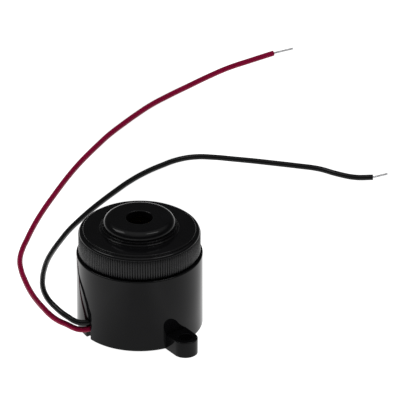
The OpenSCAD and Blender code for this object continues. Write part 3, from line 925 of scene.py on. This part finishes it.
BLACK_ROUTE: list[Point] = [
    (0, -10.2, 7.6), (0, -10.2, 7.2), (0, -10.6, 5.8), (0, -11.6, 4.8), (0, -13, 4.4),
    (0, -14.3, 4.4), (-0.1, -15, 4.4), (-0.4, -15.7, 4.4), (-1.4, -16.7, 4.35),
    (-2.3, -17.4, 4.6), (-4, -17.9, 4.95), (-5.8, -18.4, 5.4), (-8.2, -18.5, 5.75),
    (-10.9, -18.3, 6), (-14.1, -17.4, 6), (-17.9, -15.6, 5.75), (-22.4, -12.6, 5.2),
    (-26.9, -9, 4.5), (-31.2, -5.1, 3.7), (-35.2, -0.8, 2.9), (-39.6, 4.6, 2.1),
    (-43.7, 10.1, 1.4), (-46.9, 15.4, 0.95), (-49.5, 20.4, 0.75), (-51.7, 25.4, LIE),
    (-53.8, 30.8, LIE), (-55.9, 36.7, LIE), (-57.3, 42.5, LIE), (-57.9, 48, LIE),
    (-57.9, 53.1, LIE), (-56.5, 57.4, LIE), (-53.7, 60.9, LIE), (-49.9, 64.5, LIE),
    (-46, 68.1, LIE), (-42.1, 71.5, LIE), (-37.9, 75.1, LIE), (-33.6, 78.5, LIE),
    (-28.5, 80.8, LIE), (-24.7, 83.2, LIE), (-22.1, 86.8, LIE)]


@dataclass
class Leads:
    """Both flying leads."""

    leads: list[Lead] = field(default_factory=lambda: [
        Lead("red_lead", RED_ROUTE, 5.8, -7.5, (-0.1, -15, 2.6), Finishes.red_pvc, "red_pvc"),
        Lead("black_lead", BLACK_ROUTE, 4.0, 26.0, (-0.1, -15, 4.4), Finishes.black_pvc,
             "black_pvc")])

    def build(self) -> None:
        """Makes each lead with its strands."""
        tree = strand_tree()
        for lead in self.leads:
            lead.build(tree)


@dataclass
class Housing:
    """The body tube with its two screw lugs, lead slot and board ribs."""

    radius: float = 15.0 * MM
    height: float = 18.85 * MM
    wall: float = 1.3 * MM
    edge: float = 0.3 * MM
    hole_pitch: float = 37.0 * MM
    hole_d: float = 3.2 * MM
    lug_width: float = 5.9 * MM
    lug_height: float = 4.0 * MM
    lug_edge: float = 0.25 * MM
    slot_width: float = 1.7 * MM
    slot_height: float = 5.4 * MM
    rib_count: int = 6
    rib_width: float = 1.2 * MM
    rib_depth: float = 1.6 * MM
    rib_low: float = 8.8 * MM
    rib_high: float = 14.65 * MM
    segments: int = 288

    def tube(self) -> Object:
        """Turns the round wall, with its edges eased."""
        bore = self.radius - self.wall
        profile = rounded([Corner(self.radius, 0.0, self.edge),
                           Corner(self.radius, self.height, self.edge),
                           Corner(bore, self.height, 0.1 * MM),
                           Corner(bore, 0.0, 0.2 * MM)])
        return piece("housing_body", lathe(profile, self.segments))

    def lug(self, side: int) -> Object:
        """Builds one lug with a rounded top edge, without its screw hole.

        Args:
            side: 1 for the lug towards +X, -1 for the other.

        Returns:
            The lug as a tool.
        """
        mesh = bmesh.new()
        sunk, steps = 0.6, 32  # part of the wall that the lug reaches into, and steps of its end
        inner = self.radius - sunk * self.wall
        half = self.lug_width / 2
        centre = self.hole_pitch / 2
        turns = [math.pi * (0.5 - i / steps) for i in range(steps + 1)]
        outline = [(inner, half)]
        outline += [(centre + half * math.cos(a), half * math.sin(a)) for a in turns]
        outline += [(inner, -half)]
        foot = [mesh.verts.new((side * x, y, 0.0)) for x, y in outline]
        face = mesh.faces.new(foot)
        top = bmesh.ops.extrude_face_region(mesh, geom=[face])["geom"]
        raised = [v for v in top if isinstance(v, bmesh.types.BMVert)]
        bmesh.ops.translate(mesh, verts=raised, vec=(0.0, 0.0, self.lug_height))
        bmesh.ops.recalc_face_normals(mesh, faces=mesh.faces)
        rim = [e for e in mesh.edges if all(v.co.z > self.lug_height / 2 for v in e.verts)
               and any(abs(v.co.x) > inner + 0.01 * MM for v in e.verts)]
        bmesh.ops.bevel(mesh, geom=rim, offset=self.lug_edge, segments=4, profile=0.5,
                        affect="EDGES", clamp_overlap=True)
        return piece(f"lug_{'right' if side > 0 else 'left'}", mesh)

    def hole(self, side: int) -> Object:
        """A cutter for one screw hole, flared at the top and the bottom."""
        mesh = bmesh.new()
        flare, over = 0.06 * MM, 0.5 * MM
        r = self.hole_d / 2
        levels = [(-over, r + flare), (0.0, r + flare), (flare, r),
                  (self.lug_height - flare, r), (self.lug_height, r + flare),
                  (self.lug_height + over, r + flare)]
        sides = 64
        centre = side * self.hole_pitch / 2
        angles = [math.tau * i / sides for i in range(sides)]
        rings = [[mesh.verts.new((centre + radius * math.cos(a), radius * math.sin(a), z))
                  for a in angles] for z, radius in levels]
        for low, high in zip(rings, rings[1:]):
            for i in range(sides):
                n = (i + 1) % sides
                mesh.faces.new((low[i], low[n], high[n], high[i]))
        mesh.faces.new(rings[0][::-1])
        mesh.faces.new(rings[-1])
        bmesh.ops.recalc_face_normals(mesh, faces=mesh.faces)
        return piece("hole", mesh)

    def rib(self, index: int) -> Object:
        """One rib that stops the board, inside the wall."""
        bore = self.radius - self.wall
        tool = block(f"rib_{index}", (bore - self.rib_depth, -self.rib_width / 2, self.rib_low),
                     (bore + self.wall / 2, self.rib_width / 2, self.rib_high))
        tool.data.transform(Matrix.Rotation(math.tau * index / self.rib_count, 4, "Z"))
        return tool

    def build(self) -> None:
        """Makes the housing in one mesh."""
        body = self.tube()
        added = [self.lug(1), self.lug(-1)] + [self.rib(i) for i in range(self.rib_count)]
        cut(body, added, "UNION")
        over = 1.0 * MM
        slot = block("slot", (-self.slot_width / 2, -self.radius - over, -over),
                     (self.slot_width / 2, -self.radius + self.wall + over, self.slot_height))
        cut(body, [slot, self.hole(1), self.hole(-1)], "DIFFERENCE")
        tidy(body)
        settle(body, Finishes.housing, "housing_plastic", "housing")


def tidy(obj: Object, sharp: float = 30.0) -> None:
    """Merges doubles, drops loose pieces, and marks the corners sharp.

    Args:
        obj: Object to tidy.
        sharp: Angle in degrees from which an edge stays sharp.
    """
    merge, shortest = 0.002 * MM, 0.001 * MM
    mesh = bmesh.new()
    mesh.from_mesh(obj.data)
    bmesh.ops.remove_doubles(mesh, verts=mesh.verts, dist=merge)
    bmesh.ops.dissolve_degenerate(mesh, edges=mesh.edges, dist=shortest)
    loose = [v for v in mesh.verts if not v.link_faces]
    bmesh.ops.delete(mesh, geom=loose, context="VERTS")
    bmesh.ops.recalc_face_normals(mesh, faces=mesh.faces)
    mesh.to_mesh(obj.data)
    mesh.free()
    obj.data.polygons.foreach_set("use_smooth", [True] * len(obj.data.polygons))
    obj.data.set_sharp_from_angle(angle=math.radians(sharp))


@dataclass
class Cap:
    """The cap: spigot, shadow groove, knurled band, rounded shoulder, boss and sound hole."""

    seat: float = 18.85 * MM
    spigot_z: float = 14.85 * MM
    spigot_r: float = 13.65 * MM
    bore_r: float = 12.65 * MM
    ledge_r: float = 11.45 * MM
    ledge_z: float = 20.65 * MM
    neck_r: float = 13.9 * MM
    band_low: float = 19.2 * MM
    band_high: float = 24.1 * MM
    core_r: float = 14.25 * MM
    crest_r: float = 14.5 * MM
    rim_r: float = 14.35 * MM
    rim_round: float = 0.6 * MM
    lip_r: float = 13.4 * MM
    lip_h: float = 0.45 * MM
    lip_round: float = 0.22 * MM
    shoulder_z: float = 25.15 * MM
    step_r: float = 9.45 * MM
    step_h: float = 0.4 * MM
    step_round: float = 0.3 * MM
    collar_r: float = 8.9 * MM
    collar_h: float = 0.45 * MM
    boss_r: float = 8.6 * MM
    boss_round: float = 1.55 * MM
    top: float = 28.0 * MM
    hole_r: float = 3.15 * MM
    hole_round: float = 0.25 * MM
    wall: float = 1.6 * MM
    chamber_r: float = 7.0 * MM
    ribs: int = 150
    rib_r: float = 0.29 * MM
    rib_end: float = 0.14 * MM
    segments: int = 300

    def shell(self) -> Object:
        """Turns everything but the ribs."""
        step_z = self.shoulder_z + self.step_h
        collar_z = step_z + self.collar_h
        fine = 0.1 * MM
        outline = [
            Corner(self.hole_r, self.top, self.hole_round),
            Corner(self.boss_r, self.top, self.boss_round),
            Corner(self.boss_r, collar_z, 0.5 * fine),
            Corner(self.collar_r, collar_z, fine),
            Corner(self.collar_r, step_z, 0.5 * fine),
            Corner(self.step_r, step_z, self.step_round),
            Corner(self.step_r, self.shoulder_z, 0.4 * fine),
            Corner(self.lip_r, self.shoulder_z, self.lip_round),
            Corner(self.lip_r, self.shoulder_z - self.lip_h, 0.8 * fine),
            Corner(self.rim_r, self.shoulder_z - self.lip_h, self.rim_round),
            Corner(self.rim_r, self.band_high),
            Corner(self.core_r, self.band_high),
            Corner(self.core_r, self.band_low, fine),
            Corner(self.neck_r, self.band_low),
            Corner(self.neck_r, self.seat),
            Corner(self.spigot_r, self.seat),
            Corner(self.spigot_r, self.spigot_z, 3 * fine),
            Corner(self.bore_r, self.spigot_z, fine),
            Corner(self.bore_r, self.ledge_z),
            Corner(self.ledge_r, self.ledge_z),
            Corner(self.ledge_r, self.shoulder_z - self.wall),
            Corner(self.chamber_r, self.shoulder_z - self.wall, fine),
            Corner(self.chamber_r, self.top - self.wall, 2 * fine),
            Corner(self.hole_r, self.top - self.wall, fine),
        ]
        return piece("cap_body", lathe(rounded(outline), self.segments))

    def grip(self) -> Object:
        """Grows the ring of grip ribs."""
        return rib_ring_tree().grow("cap_grip_ribs", {
            "Count": self.ribs, "Ring Radius": self.crest_r - self.rib_r, "Rib Radius": self.rib_r,
            "Height": self.band_high - self.band_low, "End": self.rib_end,
            "Middle": (self.band_high + self.band_low) / 2,
            "Material": Finishes.grip.build()})

    def build(self) -> None:
        """Makes the cap and its ribs."""
        settle(self.shell(), Finishes.cap, "cap_plastic", "cap")
        # The ribs wear the cap plastic with painted light: a lighter colour than the cap's flats.
        settle(self.grip(), Finishes.grip, "cap_plastic", "cap")


@dataclass
class Inside:
    """Everything in the housing that keeps the shape of its plain solid."""

    nodes: dict[str, Object]
    shared: dict[str, Finish] = field(default_factory=lambda: {
        "disc_glue": Finishes.glue,
        "brass_plate": Finishes.brass,
        "piezo_ceramic": Finishes.ceramic,
        "main_electrode": Finishes.silver,
        "feedback_electrode": Finishes.silver,
        "disc_joints": Finishes.solder,
        "disc_retainer": Finishes.retainer,
        "ground_wire": Finishes.wire_black,
        "drive_wire": Finishes.wire_red,
        "feedback_wire": Finishes.wire_blue,
        "circuit_board": Finishes.board,
        "board_joints": Finishes.solder,
        "coil_core": Finishes.ferrite,
        "coil_winding": Finishes.copper,
        "coil_pins": Finishes.legs,
        "transistor": Finishes.moulding,
        "transistor_legs": Finishes.legs,
        "base_resistor_wires": Finishes.legs,
        "feedback_resistor_wires": Finishes.legs,
        "protection_diode_wires": Finishes.legs,
        "sealing_resin": Finishes.resin,
    })

    def banded(self) -> dict[str, Finish]:
        """Finishes of the pieces with painted rings."""
        beige = (0.52, 0.36, 0.18)
        brown, black, red = (0.1, 0.03, 0.01), (0.01, 0.01, 0.01), (0.4, 0.01, 0.01)
        gold, silver = (0.5, 0.3, 0.06), (0.6, 0.6, 0.6)
        return {
            "base_resistor": Finishes.axial("base_resistor_lacquer", "base_resistor", beige,
                                            (brown, black, red, gold)),
            "feedback_resistor": Finishes.axial("feedback_resistor_lacquer", "feedback_resistor",
                                                beige, (red, red, brown, gold)),
            "protection_diode": Finishes.axial("diode_moulding", "protection_diode",
                                               (0.012, 0.012, 0.012), (silver,)),
        }

    def dress(self) -> None:
        """Gives every inner piece its finish."""
        for name, finish in {**self.shared, **self.banded()}.items():
            dress(self.nodes[name], finish)
            LOG.info("%s: %s", name, finish.name)


def main() -> None:
    """Loads the frame and makes the buzzer in it, the camera and the leads first."""
    logging.basicConfig(level=logging.INFO, format="%(name)s %(message)s")
    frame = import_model()
    studio = Studio()
    studio.camera()
    Leads().build()
    studio.floor()
    studio.light()
    studio.colours()
    Housing().build()
    Cap().build()
    Inside(frame["nodes"]).dress()


if __name__ == "__main__":
    main()
